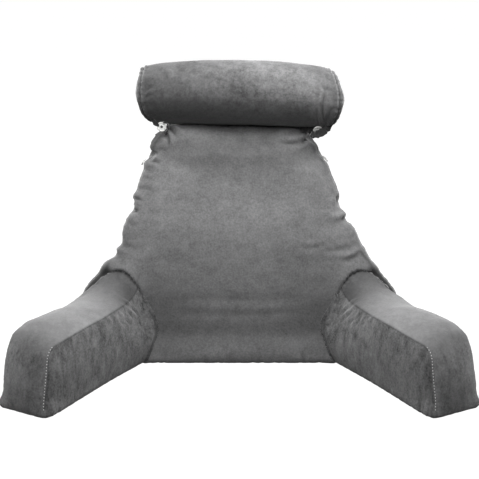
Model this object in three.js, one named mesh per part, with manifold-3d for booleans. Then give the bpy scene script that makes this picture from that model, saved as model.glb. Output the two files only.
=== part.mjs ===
// A backrest pillow: a leaning back cushion, two splayed arms and a neck roll held at its top by press studs.
// Millimetres, +Z up, the sitter on the -Y side. The origin is on the floor, under the middle of the part.
import * as THREE from "three";
import { mergeVertices } from "three/addons/utils/BufferGeometryUtils.js";
import Module from "manifold-3d";

const wasm = await Module();
wasm.setup();

// Driving dimensions
const GAP = 0.35; // clearance between neighbouring pieces
const FRONT_Y = 21; // the back cushion's front edge, at the floor
const BACK_HEIGHT = 462;
const BACK_THICKNESS = 190; // at the floor; it thins towards the top
const FRONT_LEAN = 0.22; // how far the front panel goes back for each millimetre up
const REAR_LEAN = 0.06;
const PANEL_CROWN = 12; // how far the front and rear panels swell in their middle
const TOP_CROWN = 9;
const SIDE_BELLY = 5;
const EDGE_ROLL = 16; // how far the front panel's side edges curve back
const REAR_ROLL = 14; // how far the rear panel's top edge curves forward
const CORNER_DROP = 32; // how much lower the top's corners are than its middle
const ARM_ROOT_X = 187; // from the middle to the arm's inner side, where it leaves the back
const ARM_WIDTH = 93;
const ARM_LENGTH = 301; // along the inner side
const ARM_SPLAY = THREE.MathUtils.degToRad(30.3);
const ARM_ROOT_DEPTH = 0.16; // how far the arm starts inside the back, as a share of its length
const ARM_END_LEAN = 0.26;
const ARM_END_BULGE = 11;
const FLOOR_TUCK = 1;
const TOE = { reach: 9, up: 0.07, rise: 0.09 }; // the flare of the sewn corner at an arm's outer toe
const ROLL_Y = FRONT_Y + 112; // the roll's axis at its middle
const ROLL_YAW = Math.tan(THREE.MathUtils.degToRad(3));
const SOCKET_RADIUS = 9.5;
const SOCKET_THICKNESS = 3;
const SOCKET_HOLE = 2.2;
const STUD_RADIUS = 5.5;
const STUD_THICKNESS = 2.2;
const TAB_THICKNESS = 2.2;
const TAB_WIDTH = 12;

// Half widths of the back cushion at each height, left and right of the middle
const OUTLINE = [
  { z: 0, left: 300, right: 300 },
  { z: 25, left: 311, right: 311 },
  { z: 60, left: 316, right: 316 },
  { z: 95, left: 313, right: 313 },
  { z: 115, left: 304, right: 304 },
  { z: 132, left: 291, right: 292 },
  { z: 148, left: 279, right: 281 },
  { z: 165, left: 262, right: 267 },
  { z: 190, left: 244, right: 253 },
  { z: 215, left: 235, right: 240 },
  { z: 240, left: 229, right: 225 },
  { z: 275, left: 214, right: 205 },
  { z: 330, left: 200, right: 189 },
  { z: 370, left: 189, right: 175 },
  { z: 402, left: 178, right: 160 },
  { z: 430, left: 168, right: 147 },
  { z: 462, left: 151, right: 136 },
];

// Where the side seams gather the cloth: a pinch of this depth and half height
const GATHERS = [
  { side: -1, z: 394, depth: 9, reach: 10 },
  { side: -1, z: 341, depth: 4, reach: 10 },
  { side: -1, z: 283, depth: 12, reach: 11 },
  { side: -1, z: 213, depth: 8, reach: 11 },
  { side: 1, z: 398, depth: 8, reach: 12 },
  { side: 1, z: 346, depth: 4, reach: 10 },
  { side: 1, z: 288, depth: 9, reach: 11 },
  { side: 1, z: 256, depth: 9, reach: 10 },
];

// The front panel's swell: how far it stands forward of its leaning plane at each height
const SWELL = [
  { z: 0, forward: 3 },
  { z: 12, forward: 8 },
  { z: 36, forward: 11 },
  { z: 66, forward: 6 },
  { z: 100, forward: 1 },
  { z: 150, forward: 4 },
  { z: 230, forward: 12 },
  { z: 320, forward: 14 },
  { z: 400, forward: 9 },
  { z: 440, forward: 2 },
  { z: 462, forward: -9 },
];

// Sections along an arm, from its root in the back to its end. The seams' heights, the crown above them,
// how far the top and the bellies of the two sides stand towards the outside or out of their rail.
const ARM_SECTIONS = [
  { at: -0.16, inSeam: 152, outSeam: 184, crown: 26, inTop: 10, outTop: -42, inBelly: 35, outBelly: 2 },
  { at: 0, inSeam: 147, outSeam: 176, crown: 26, inTop: 8, outTop: -32, inBelly: 33, outBelly: 3 },
  { at: 0.08, inSeam: 142, outSeam: 153, crown: 19, inTop: 5, outTop: -14, inBelly: 26, outBelly: 4 },
  { at: 0.18, inSeam: 138, outSeam: 138, crown: 12, inTop: 1, outTop: -3, inBelly: 16, outBelly: 6 },
  { at: 0.28, inSeam: 134, outSeam: 134, crown: 12, inTop: 0, outTop: -1, inBelly: 11, outBelly: 7 },
  { at: 0.45, inSeam: 130, outSeam: 139, crown: 13, inTop: -1, outTop: -1, inBelly: 9, outBelly: 8 },
  { at: 0.7, inSeam: 124, outSeam: 137, crown: 13, inTop: 0, outTop: 2, inBelly: 8, outBelly: 9 },
  { at: 0.88, inSeam: 121, outSeam: 131, crown: 11, inTop: 1, outTop: 3, inBelly: 7, outBelly: 9 },
  { at: 0.96, inSeam: 120, outSeam: 126, crown: 8, inTop: 2, outTop: 3, inBelly: 5, outBelly: 7 },
  { at: 1, inSeam: 118, outSeam: 118, crown: 4, inTop: 4, outTop: 2, inBelly: 3, outBelly: 5 },
];

// Rings of the neck roll from its left seam to its right one
const ROLL_RINGS = [
  { x: -190, radius: 54, z: 510 },
  { x: -160, radius: 57.5, z: 512 },
  { x: -110, radius: 60.5, z: 514 },
  { x: -20, radius: 62.5, z: 515.5 },
  { x: 70, radius: 61.5, z: 513.5 },
  { x: 130, radius: 60, z: 509.5 },
  { x: 165, radius: 58.5, z: 506.5 },
  { x: 191, radius: 55.5, z: 504 },
];
const ROLL_DRAW = { left: { top: 5, bottom: 21 }, right: { top: 15, bottom: 21 } }; // of the end seams, inwards
const ROLL_CAP = 12; // how far the end panels swell past their seams
const ROLL_RIDGE = 1.6; // how far the sewn edge of an end seam stands up

// Where the two closed pairs of press studs sit, between the roll's ends and the back's corners. The angles,
// in degrees, turn a pair's top towards the sitter and its lower tab towards the middle.
const CLOSED_STUDS = [
  { side: "left", x: -150, y: FRONT_Y + 87, z: 452.5, nod: 0, lean: -14 },
  { side: "right", x: 151, y: FRONT_Y + 80.5, z: 447.5, nod: 32, lean: 24 },
];
// The lines of a pair's tabs beside its axis: how far behind the socket's back face, and how far up
const ROLL_TAB_LINE = [[1.45, 6.4], [1.45, 15], [7, 26]];
const BACK_TAB_LINE = [[4, 5], [4, -16], [24, -22]];

// The open studs on the back's sides, for a lower place of the roll, by their place on the cushion's box
const OPEN_STUDS = [
  { side: "left", a: -1, b: -0.16, c: 0.57 },
  { side: "right", a: 1, b: -0.16, c: 0.6 },
];
const OPEN_STUD_RADIUS = 7.5;

// A table's column at a place between its rows, on a smooth curve that doesn't overshoot them.
function read(rows, key, column, place) {
  const last = rows.length - 1;
  const at = THREE.MathUtils.clamp(place, rows[0][key], rows[last][key]);
  let i = 0;
  while (i < last - 1 && rows[i + 1][key] < at) i += 1;
  const slope = (j) => (rows[j + 1][column] - rows[j][column]) / (rows[j + 1][key] - rows[j][key]);
  const here = slope(i);
  const blend = (other) => (other * here > 0 ? (2 * other * here) / (other + here) : 0);
  const before = i > 0 ? blend(slope(i - 1)) : here;
  const after = i < last - 1 ? blend(slope(i + 1)) : here;
  const span = rows[i + 1][key] - rows[i][key];
  const t = (at - rows[i][key]) / span;
  const rise = rows[i + 1][column] - rows[i][column];
  const curve = t * t * (3 - 2 * t) * rise;
  return rows[i][column] + curve + span * t * (1 - t) * ((1 - t) * before - t * after);
}

// A closed box of cells whose points, from -1 to 1 each way, are put in place one by one.
function shaped(cells, place) {
  const box = new THREE.BoxGeometry(2, 2, 2, ...cells);
  const points = box.attributes.position;
  for (let i = 0; i < points.count; i += 1) {
    const [x, y, z] = place(points.getX(i), points.getY(i), points.getZ(i));
    points.setXYZ(i, x, y, z);
  }
  return bare(box);
}

// A geometry with nothing but merged positions.
function bare(geometry) {
  geometry.deleteAttribute("normal");
  geometry.deleteAttribute("uv");
  return mergeVertices(geometry, 1e-3);
}

// Moves a coordinate from -1 to 1 towards the ends, where a cushion curves most.
function edgeward(t, share) {
  return (1 - share) * t + share * Math.sin((t * Math.PI) / 2);
}

const bell = (distance, reach) => Math.exp(-((distance / reach) ** 2));
const ease = (t, from, to) => THREE.MathUtils.smoothstep(t, from, to);

// A point on the back cushion's box, put in place. The margin grows it on every side.
function backPoint(a, b, c, grow) {
  const across = edgeward(a, 0.6);
  const deep = (edgeward(b, 0.5) + 1) / 2;
  const up = (edgeward(c, 0.35) + 1) / 2;
  const side = Math.sign(a) || 1;
  const height = up * BACK_HEIGHT;
  const edge = Math.abs(across) ** 6;
  const gathers = GATHERS.filter((gather) => gather.side === side);
  const pinch = gathers.reduce((sum, { z, depth, reach }) => sum + depth * bell(height - z, reach), 0);
  const width = read(OUTLINE, "z", side < 0 ? "left" : "right", height) + SIDE_BELLY * (1 - b * b) + grow;
  const x = across * width - side * edge * pinch * (1 - deep ** 2);
  const drop = CORNER_DROP * Math.abs(across) ** 9 * up ** 8;
  const z = height - drop + TOP_CROWN * (1 - b * b) * up ** 10 + grow * c;
  const crown = PANEL_CROWN * (1 - across * across) * Math.sin(Math.PI * Math.min(up * 1.05, 1));
  const front = FRONT_LEAN * height - read(SWELL, "z", "forward", height) - crown + EDGE_ROLL * edge - grow;
  const rear = BACK_THICKNESS + REAR_LEAN * height + crown - 0.5 * EDGE_ROLL * edge + grow;
  const y = front + (rear - REAR_ROLL * up ** 12 - front) * deep;
  return [x, FRONT_Y + y, z];
}

function backCushion(grow) {
  return shaped([26, 6, 44], (a, b, c) => backPoint(a, b, c, grow));
}

// An arm's two rails on the floor at a share of its length: the inner and the outer side.
function armRails(at) {
  const forward = new THREE.Vector2(Math.sin(ARM_SPLAY), -Math.cos(ARM_SPLAY));
  const inner = new THREE.Vector2(ARM_ROOT_X, FRONT_Y).addScaledVector(forward, at * ARM_LENGTH);
  const rootWidth = ARM_WIDTH / Math.cos(ARM_SPLAY);
  const outerLength = ARM_LENGTH - ARM_WIDTH * Math.tan(ARM_SPLAY);
  const outerRoot = new THREE.Vector2(ARM_ROOT_X + rootWidth, FRONT_Y);
  const outer = outerRoot.addScaledVector(forward, at * outerLength);
  return { inner, outer, forward };
}

// One arm, before the back is cut out of its root. side is -1 on the left and 1 on the right.
function arm(side) {
  return shaped([8, 24, 10], (a, b, c) => {
    const across = edgeward(a * side, 0.3);
    const along = (1 - edgeward(b, 0.45)) / 2;
    const up = (edgeward(c, 0.4) + 1) / 2;
    const at = along * (1 + ARM_ROOT_DEPTH) - ARM_ROOT_DEPTH;
    const { inner, outer, forward } = armRails(at);
    const section = (column) => read(ARM_SECTIONS, "at", column, at);
    const over = outer.clone().sub(inner).normalize();
    const belly = 4 * up * (1 - up);
    const tuck = FLOOR_TUCK * (1 - up) ** 7;
    const flare = TOE.reach * bell(up - TOE.up, TOE.rise) * ease(at, 0.9, 1);
    inner.addScaledVector(over, section("inTop") * up ** 2 - section("inBelly") * belly + tuck);
    outer.addScaledVector(over, section("outTop") * up ** 2 + section("outBelly") * belly - tuck + flare);
    const plan = inner.lerp(outer, (across + 1) / 2);
    const seam = THREE.MathUtils.lerp(section("inSeam"), section("outSeam"), (across + 1) / 2);
    const z = up * (seam + section("crown") * (1 - across * across));
    plan.addScaledVector(forward, -ARM_END_LEAN * z * ease(at, 0.62, 1));
    plan.addScaledVector(forward, ARM_END_BULGE * (1 - across * across) * belly * ease(at, 0.9, 1));
    const lean = FRONT_LEAN * z * (1 - ease(at, 0, 0.45));
    return [side * plan.x, plan.y + lean, z];
  });
}

// The neck roll, grown by a margin where it is only a cutter.
function neckRoll(grow) {
  const first = ROLL_RINGS[0];
  const last = ROLL_RINGS[ROLL_RINGS.length - 1];
  const steps = 16;
  const cap = [0, 0.28, 0.52, 0.72, 0.87, 0.96]; // shares of the seam's radius on an end panel
  const swell = (share) => ROLL_CAP * Math.sqrt(1 - share ** 3);
  const profile = [];
  cap.forEach((share) => {
    profile.push(new THREE.Vector2(share * first.radius, first.x - swell(share)));
  });
  profile.push(new THREE.Vector2(first.radius + ROLL_RIDGE, first.x - 1.5));
  for (let i = 0; i <= steps; i += 1) {
    const x = THREE.MathUtils.lerp(first.x + 3, last.x - 3, i / steps);
    profile.push(new THREE.Vector2(read(ROLL_RINGS, "x", "radius", x), x));
  }
  profile.push(new THREE.Vector2(last.radius + ROLL_RIDGE, last.x + 1.5));
  cap.reverse().forEach((share) => {
    profile.push(new THREE.Vector2(share * last.radius, last.x + swell(share)));
  });
  profile[0].x = 0;
  profile[profile.length - 1].x = 0;
  const lathe = new THREE.LatheGeometry(profile, 28);
  const points = lathe.attributes.position;
  const middle = (first.x + last.x) / 2;
  for (let i = 0; i < points.count; i += 1) {
    const x = points.getY(i);
    const radius = Math.hypot(points.getX(i), points.getZ(i));
    const share = radius > 0 ? (radius + grow) / radius : 0;
    const upward = radius > 0 ? points.getX(i) / radius : 0;
    const reach = Math.abs(x - middle) / (last.x - middle);
    const draw = x < middle ? ROLL_DRAW.left : ROLL_DRAW.right;
    const seamDraw = draw.top * ((1 + upward) / 2) ** 4 + draw.bottom * ((1 - upward) / 2) ** 4;
    const drawn = seamDraw * reach ** 6;
    const axisZ = read(ROLL_RINGS, "x", "z", x);
    const axisY = ROLL_Y - ROLL_YAW * x;
    const outward = Math.sign(x - middle);
    const end = radius < first.radius * 0.97 ? grow : 0;
    points.setXYZ(
      i,
      x - outward * (drawn - end),
      axisY + points.getZ(i) * share,
      axisZ + points.getX(i) * share,
    );
  }
  return bare(lathe);
}

// One half of a press stud, a round disc with its open face towards -Y and its back on the plane y = 0.
function pressStud(radius, thickness, centre) {
  const chamfer = 0.8;
  const rim = 1.6;
  const dish = 0.7;
  const face = [
    [radius, thickness - chamfer],
    [radius - chamfer, thickness],
    [radius - rim, thickness],
    [radius - rim - dish, thickness - dish],
  ];
  const ends = {
    hole: [[SOCKET_HOLE, 0], [radius, 0], ...face, [SOCKET_HOLE, thickness - dish], [SOCKET_HOLE, 0]],
    peg: [[0, 0], [radius, 0], ...face, [1.8, thickness - dish], [1.8, thickness + 1.2], [0, thickness + 1.8]],
  };
  const disc = new THREE.LatheGeometry(ends[centre].map(([r, y]) => new THREE.Vector2(r, y)), 24);
  disc.rotateX(Math.PI);
  return bare(disc);
}

// A strap of cloth along a smooth line through three points in the Y-Z plane, as wide as a tab.
function strap(line) {
  const steps = 10;
  const [from, bend, to] = line.map(([y, z]) => new THREE.Vector2(y, z));
  const middle = new THREE.QuadraticBezierCurve(from, bend, to).getPoints(steps);
  const side = (sign) => middle.map((point, i) => {
    const along = middle[Math.min(i + 1, steps)].clone().sub(middle[Math.max(i - 1, 0)]).normalize();
    return new THREE.Vector2(-along.y, along.x).multiplyScalar((sign * TAB_THICKNESS) / 2).add(point);
  });
  const outline = new THREE.Shape([...side(1), ...side(-1).reverse()]);
  const strip = new THREE.ExtrudeGeometry(outline, { depth: TAB_WIDTH, bevelEnabled: false, steps: 1 });
  strip.translate(0, 0, -TAB_WIDTH / 2);
  strip.rotateZ(Math.PI / 2);
  strip.rotateY(Math.PI / 2);
  return bare(strip);
}

// A geometry as a solid for joining and cutting.
function solidOf(geometry) {
  return new wasm.Manifold(
    new wasm.Mesh({
      numProp: 3,
      vertProperties: new Float32Array(geometry.attributes.position.array),
      triVerts: new Uint32Array(geometry.index.array),
    }),
  );
}

// A solid as a geometry again.
function geometryOf(solid) {
  const mesh = solid.getMesh();
  const geometry = new THREE.BufferGeometry();
  geometry.setAttribute("position", new THREE.BufferAttribute(new Float32Array(mesh.vertProperties), 3));
  geometry.setIndex(new THREE.BufferAttribute(new Uint32Array(mesh.triVerts), 1));
  geometry.computeVertexNormals();
  return geometry;
}

const cloth = new THREE.MeshStandardMaterial({ color: 0x646464, roughness: 0.95, metalness: 0 });
const plastic = new THREE.MeshStandardMaterial({ color: 0xe9e9e6, roughness: 0.35, metalness: 0 });

const part = new THREE.Group();

function named(name, geometry, material) {
  const mesh = new THREE.Mesh(geometry, material);
  mesh.name = name;
  return mesh;
}

// The filled pieces: the roll nests in the back's top, and the arms fit the back's front.
const rollCutter = solidOf(neckRoll(GAP));
const backCutter = solidOf(backCushion(GAP * 1.4));
part.add(named("neck_roll", neckRoll(0), cloth));
part.add(named("back_cushion", geometryOf(solidOf(backCushion(0)).subtract(rollCutter)), cloth));
part.add(named("arm_left", geometryOf(solidOf(arm(-1)).subtract(backCutter)), cloth));
part.add(named("arm_right", geometryOf(solidOf(arm(1)).subtract(backCutter)), cloth));

// The closed pairs of press studs, each half sewn to its own tab.
CLOSED_STUDS.forEach(({ side, x, y, z, nod, lean }) => {
  const pair = new THREE.Group();
  pair.position.set(x, y, z);
  pair.rotation.set(THREE.MathUtils.degToRad(nod), THREE.MathUtils.degToRad(lean), 0);
  pair.updateMatrix();
  part.add(pair);
  pair.add(named(`stud_socket_${side}`, pressStud(SOCKET_RADIUS, SOCKET_THICKNESS, "hole"), plastic));
  const stud = named(`stud_peg_${side}`, pressStud(STUD_RADIUS, STUD_THICKNESS, "peg"), plastic);
  stud.position.y = GAP + STUD_THICKNESS;
  pair.add(stud);
  const tab = (line) => {
    const whole = solidOf(strap(line).applyMatrix4(pair.matrix));
    return geometryOf(whole.subtract(rollCutter).subtract(backCutter));
  };
  part.add(named(`roll_tab_${side}`, tab(ROLL_TAB_LINE), cloth));
  part.add(named(`back_tab_${side}`, tab(BACK_TAB_LINE), cloth));
});

// The open studs, sewn flat on the back's sides.
OPEN_STUDS.forEach(({ side, a, b, c }) => {
  const step = 0.05;
  const sink = 0.8;
  const seat = new THREE.Vector3(...backPoint(a, b, c, 0));
  const deeper = new THREE.Vector3(...backPoint(a, b + step, c, 0)).sub(seat);
  const higher = new THREE.Vector3(...backPoint(a, b, c + step, 0)).sub(seat);
  const outward = deeper.cross(higher).multiplyScalar(a).normalize();
  const facing = new THREE.Quaternion().setFromUnitVectors(new THREE.Vector3(0, -1, 0), outward);
  const disc = pressStud(OPEN_STUD_RADIUS, STUD_THICKNESS + sink, "peg").applyQuaternion(facing);
  disc.translate(...seat.addScaledVector(outward, -sink).toArray());
  part.add(named(`stud_open_${side}`, geometryOf(solidOf(disc).subtract(backCutter)), plastic));
});

export default part;
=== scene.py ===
"""The looks of a backrest pillow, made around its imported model: filled cushions, seams, press studs and tabs.

Sizes are in millimetres in the tables and shape functions, and in metres on Blender's objects.
"""
import math

import bmesh
import bpy
import numpy as np
from mathutils import Matrix, Vector, noise
from mathutils.bvhtree import BVHTree
from mathutils.kdtree import KDTree


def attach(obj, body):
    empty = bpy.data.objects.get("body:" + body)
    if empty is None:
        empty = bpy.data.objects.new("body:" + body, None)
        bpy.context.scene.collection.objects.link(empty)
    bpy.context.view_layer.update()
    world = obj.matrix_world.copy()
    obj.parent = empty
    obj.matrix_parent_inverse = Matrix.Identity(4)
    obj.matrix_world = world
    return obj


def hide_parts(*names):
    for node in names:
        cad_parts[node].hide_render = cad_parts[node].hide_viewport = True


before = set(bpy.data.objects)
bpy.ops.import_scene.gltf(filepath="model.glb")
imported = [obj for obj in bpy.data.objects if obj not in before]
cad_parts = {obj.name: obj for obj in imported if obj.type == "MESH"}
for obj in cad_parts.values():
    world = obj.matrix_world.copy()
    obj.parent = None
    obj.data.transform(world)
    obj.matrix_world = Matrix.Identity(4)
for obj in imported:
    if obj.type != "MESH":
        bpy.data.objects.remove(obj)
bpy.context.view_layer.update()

MM = 0.001
GAP = 0.4  # clearance between neighbouring pieces

# The frame's own driving dimensions
FRONT_Y = 21
BACK_HEIGHT = 462
BACK_THICKNESS = 190
FRONT_LEAN = 0.22
REAR_LEAN = 0.06
PANEL_CROWN = 12
TOP_CROWN = 9
SIDE_BELLY = 5
SIDE_TAPER = 9  # how far the sides are drawn in behind the front seam
SEAM_FILLET = 14  # radius of the front panel's turn into that seam
VIEW_SLOPE = 0.268  # the outline was measured at half depth, looking down by this slope
EDGE_ROLL = 16
REAR_ROLL = 14
CORNER_DROP = 32
ARM_ROOT_X = 187
ARM_WIDTH = 93
ARM_LENGTH = 301
ARM_HEIGHT = 135
ARM_SPLAY = math.radians(30.3)
ARM_ROOT_DEPTH = 0.16
ARM_END_LEAN = 0.26
ARM_END_BULGE = 11
ARM_BEND = 20  # radius of the strip's bend from the arm's top to its end
TOE = {"reach": 9, "up": 0.07, "rise": 0.09}
INNER_TOE = {"reach": 10, "up": 0.03, "rise": 0.13}
ROLL_Y = FRONT_Y + 112
ROLL_YAW = math.tan(math.radians(3))
ROLL_DRAW = {"left": {"top": 5, "bottom": 21}, "right": {"top": 15, "bottom": 21}}
ROLL_CAP = 12

# Half widths of the back cushion at each height
OUTLINE = {
    "z": [0, 25, 60, 95, 115, 132, 148, 165, 190, 215, 240, 275, 330, 370, 402, 430, 462],
    "left": [300, 311, 316, 313, 304, 291, 279, 262, 244, 235, 229, 214, 200, 189, 178, 168, 151],
    "right": [300, 311, 316, 313, 304, 292, 281, 267, 253, 240, 225, 205, 189, 175, 160, 147, 136],
}
# Half widths of the front panel's seam, which the stitches gather unevenly
SEAM = {
    "z": [
        0, 48, 83, 118, 138, 155, 171, 183, 190.5, 198, 206, 213.5, 217.5, 221.5, 233, 244.5, 252, 260, 264, 267.5,
        271.5, 275.5, 279, 283, 287, 291, 294.5, 298.5, 302, 306, 310, 313.5, 317.5, 321.5, 325, 333, 340.5, 348, 356,
        367.5, 374, 379, 382.5, 386.5, 390.5, 394, 398, 402, 405.5, 409.5, 413, 417, 421, 428.5, 436, 441, 447, 462,
    ],
    "left": [
        303, 314, 318, 314, 304, 291, 276, 268.5, 260, 246, 241.5, 241, 237.5, 231, 230, 230, 228, 225.5, 223, 217.5,
        220, 218.5, 215, 212, 210, 205, 206, 207, 206.5, 205, 208, 208.5, 207, 204, 200.5, 199, 197, 195, 191.5,
        187.5, 187, 185.5, 184, 178, 174, 171.5, 168.5, 173.5, 175.5, 176, 174, 172.5, 170, 165, 157, 150, 144, 138,
    ],
    "right": [
        303, 314, 318, 314, 304, 291, 276, 268, 260, 254.5, 250, 246.5, 243.5, 240.5, 235, 230, 225, 219.5, 215, 209,
        205.5, 208, 209, 207, 203, 199, 195.5, 194, 193.5, 193.5, 195, 196, 196, 194, 193, 190, 187, 183.5, 180,
        176, 173, 169, 165.5, 162, 159.5, 157.5, 156, 155.5, 154, 153.5, 151, 148, 145, 142, 139, 137, 135, 132,
    ],
}
# How far the front panel stands forward of its leaning plane
SWELL = {
    "z": [0, 12, 36, 66, 100, 150, 230, 320, 400, 440, 462],
    "forward": [3, 8, 11, 6, 1, 4, 12, 14, 9, 2, -9],
}
# Sections along an arm
SECTIONS = {
    "at": [-0.16, 0, 0.04, 0.08, 0.18, 0.28, 0.45, 0.7, 0.88, 0.96, 1],
    "inSeam": [160, 154, 145, 137, 131, 130.5, 129.5, 124, 121, 120, 118],
    "outSeam": [178, 172, 162, 150, 138, 134, 139, 137, 131, 126, 118],
    "crown": [19, 18, 17, 15, 12, 12, 13, 13, 11, 8, 4],
    "inTop": [6, 5, 5, 4, 1, 0, -1, 0, 1, 2, 4],
    "outTop": [-42, -32, -23, -14, -3, -1, -1, 2, 3, 3, 2],
    "inBelly": [35, 33, 30, 26, 16, 11, 9, 8, 7, 5, 3],
    "outBelly": [2, 3, 4, 4, 6, 7, 8, 9, 9, 7, 5],
}
# Rings of the neck roll
RINGS = {
    "x": [-190, -160, -110, -20, 70, 130, 165, 191],
    "radius": [54, 57.5, 60.5, 62.5, 61.5, 60, 58.5, 55.5],
    "z": [510, 512, 514, 515.5, 513.5, 509.5, 506.5, 504],
}


# The covers' cloth while they are filled, and for how many frames
CLOTH = {
    "quality": 6, "mass": 0.3, "tension_stiffness": 15, "compression_stiffness": 12, "shear_stiffness": 5,
    "bending_stiffness": 0.4, "use_pressure": True, "vertex_group_mass": "pins", "vertex_group_shrink": "slack",
    "shrink_min": 0,
}
FILL_FRAMES = 20
SEAM_PIN = 0.9  # how firmly the seams keep their place while a cover is filled
# The size of a cushion's cells across, deep or along, and up
CELLS = {"back": (7.5, 8, 7), "arm": (6.5, 6, 6), "roll": 5.5}
ROLL_AROUND = 76  # points around the roll
# The view: its tilt down, its distance from the back's foot, its rise in metres, and its focal length in pixels
VIEW = {"tilt": math.radians(15), "distance": 2, "rise": 0.242, "focal": 1020, "picture": 479}
SENSOR = 36
# Square lights: where they are and aim in metres, their size in metres and their power in watts
LIGHTS = {
    "name": ["over_front", "front_high", "close_top", "rear_left", "rear_right"],
    "place": [(0, -0.9, 2.0), (0, -2.0, 1.6), (0, -0.45, 1.3), (-1.5, 1.9, 0.8), (1.5, 1.9, 0.8)],
    "target": [(0, 0, 0.3), (0, 0, 0.3), (0, 0.1, 0.35), (0, 0.2, 0.25), (0, 0.2, 0.25)],
    "size": [1.2, 1.2, 0.6, 1.2, 1.2],
    "power": [18, 34, 15, 34, 34],
}
SURROUNDINGS = {"above": 0.03, "below": 0.02}


def read(table, key, column, place):
    """A table's column at a place between its rows, on a smooth curve that doesn't overshoot them."""
    keys = np.array(table[key], float)
    values = np.array(table[column], float)
    at = np.clip(place, keys[0], keys[-1])
    i = np.clip(np.searchsorted(keys, at) - 1, 0, len(keys) - 2)
    slope = np.diff(values) / np.diff(keys)
    product = slope[:-1] * slope[1:]
    total = slope[:-1] + slope[1:]
    inner = np.where(product > 0, 2 * product / np.where(total == 0, 1, total), 0)
    bend = np.concatenate([slope[:1], inner, slope[-1:]])
    span = keys[i + 1] - keys[i]
    t = (at - keys[i]) / span
    rise = (values[i + 1] - values[i]) * t * t * (3 - 2 * t)
    return values[i] + rise + span * t * (1 - t) * ((1 - t) * bend[i] - t * bend[i + 1])


def ease(value, start, end):
    """A smooth step from 0 to 1."""
    t = np.clip((value - start) / (end - start), 0, 1)
    return t * t * (3 - 2 * t)


def bell(distance, reach):
    return np.exp(-((distance / reach) ** 2))


def spaced(length, cell, edge=2.5):
    """Places from -1 to 1 along a side of a cushion, with cells of about that size and narrow ones at both ends."""
    ends = np.array([0, edge, 2.4 * edge, 4.4 * edge])
    middle = np.linspace(ends[-1], length - ends[-1], round((length - 2 * ends[-1]) / cell) + 1)
    places = np.concatenate([ends[:-1], middle, length - ends[-2::-1]])
    return 2 * places / length - 1


def box_cells(steps):
    """The surface of a box of cells: a row of lattice numbers for each point, and quads that face out."""
    size = [len(s) - 1 for s in steps]
    number = {}
    quads = []
    for axis in range(3):
        u, v = (axis + 1) % 3, (axis + 2) % 3
        for end in (0, size[axis]):
            for i in range(size[u]):
                for j in range(size[v]):
                    ring = [(i, j), (i + 1, j), (i + 1, j + 1), (i, j + 1)]
                    if end == 0:
                        ring.reverse()
                    quad = []
                    for p, q in ring:
                        key = [0, 0, 0]
                        key[axis], key[u], key[v] = end, p, q
                        quad.append(number.setdefault(tuple(key), len(number)))
                    quads.append(quad)
    return np.array(list(number)), quads


def mesh_object(name, points_mm, faces):
    """A mesh object with its points given in millimetres."""
    mesh = bpy.data.meshes.new(name)
    mesh.from_pydata((np.asarray(points_mm) * MM).tolist(), [], faces)
    mesh.validate()
    for polygon in mesh.polygons:
        polygon.use_smooth = True
    piece = bpy.data.objects.new(name, mesh)
    bpy.context.scene.collection.objects.link(piece)
    return piece


def ring_faces(rings, around):
    """Quads between rings of points that follow each other."""
    faces = []
    for k in range(rings - 1):
        for i in range(around):
            j = (i + 1) % around
            faces.append([k * around + i, (k + 1) * around + i, (k + 1) * around + j, k * around + j])
    return faces


def coordinates(mesh):
    found = np.zeros(len(mesh.vertices) * 3)
    mesh.vertices.foreach_get("co", found)
    return found.reshape(-1, 3) / MM


def normals(mesh):
    found = np.zeros(len(mesh.vertices) * 3)
    mesh.vertex_normals.foreach_get("vector", found)
    return found.reshape(-1, 3)


def move_to(mesh, points_mm):
    mesh.vertices.foreach_set("co", (points_mm * MM).ravel())
    mesh.update()


def half_width(table, across, z):
    """The half width on the side that a point is on."""
    return np.where(across < 0, read(table, "z", "left", z), read(table, "z", "right", z))


def set_cloth_attribute(mesh, values, name="pile_and_painted_shade"):
    """Stores how light the pile looks at each point, with painted shade and painted light multiplied in, or how mottled
    it is. The cloth's material reads both.
    """
    held = mesh.attributes.get(name) or mesh.attributes.new(name, "FLOAT", "POINT")
    held.data.foreach_set("value", np.asarray(values, float))


# Reads back the pile's brightness with its painted shade and painted light in it, 1 where none is stored.
def pile_and_painted_shade_of(mesh):
    found = np.ones(len(mesh.vertices))
    if mesh.attributes.get("pile_and_painted_shade"):
        mesh.attributes["pile_and_painted_shade"].data.foreach_get("value", found)
    return found


def back_points(across, deep, up):
    """Points of the back cushion: across from -1 to 1, deep from 0 at the front to 1, up from 0 to 1."""
    height = up * BACK_HEIGHT
    thickness = BACK_THICKNESS + (REAR_LEAN - FRONT_LEAN) * height
    seam_height = height - CORNER_DROP * up**8 + VIEW_SLOPE * thickness * deep
    seam = half_width(SEAM, across, seam_height)
    middle = half_width(OUTLINE, across, height + VIEW_SLOPE * thickness * (deep - 0.5)) + SIDE_BELLY - SIDE_TAPER
    behind = ease(deep, 0, 0.35)
    width = seam * (1 - behind) + middle * behind
    drop = CORNER_DROP * np.abs(across) ** 9 * up**8
    z = height - drop + TOP_CROWN * (1 - (2 * deep - 1) ** 2) * up**10
    from_edge = np.minimum((1 - np.abs(across)) * width, SEAM_FILLET)
    fillet = SEAM_FILLET - np.sqrt(SEAM_FILLET**2 - (SEAM_FILLET - from_edge) ** 2)
    front = front_plane(across, height) + fillet
    rear = BACK_THICKNESS + REAR_LEAN * height + panel_crown(across, height)
    rear = rear - 0.5 * EDGE_ROLL * np.abs(across) ** 6 - REAR_ROLL * up**12
    return np.stack([across * width, FRONT_Y + front + (rear - front) * deep, z], axis=1)


def panel_crown(across, height):
    return PANEL_CROWN * (1 - across**2) * np.sin(np.pi * np.minimum(height / BACK_HEIGHT * 1.05, 1))


def front_plane(across, height):
    """How far behind its front edge on the floor the back's front panel is."""
    swell = read(SWELL, "z", "forward", height)
    return FRONT_LEAN * height - swell - panel_crown(across, height) + EDGE_ROLL * np.abs(across) ** 6


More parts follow.
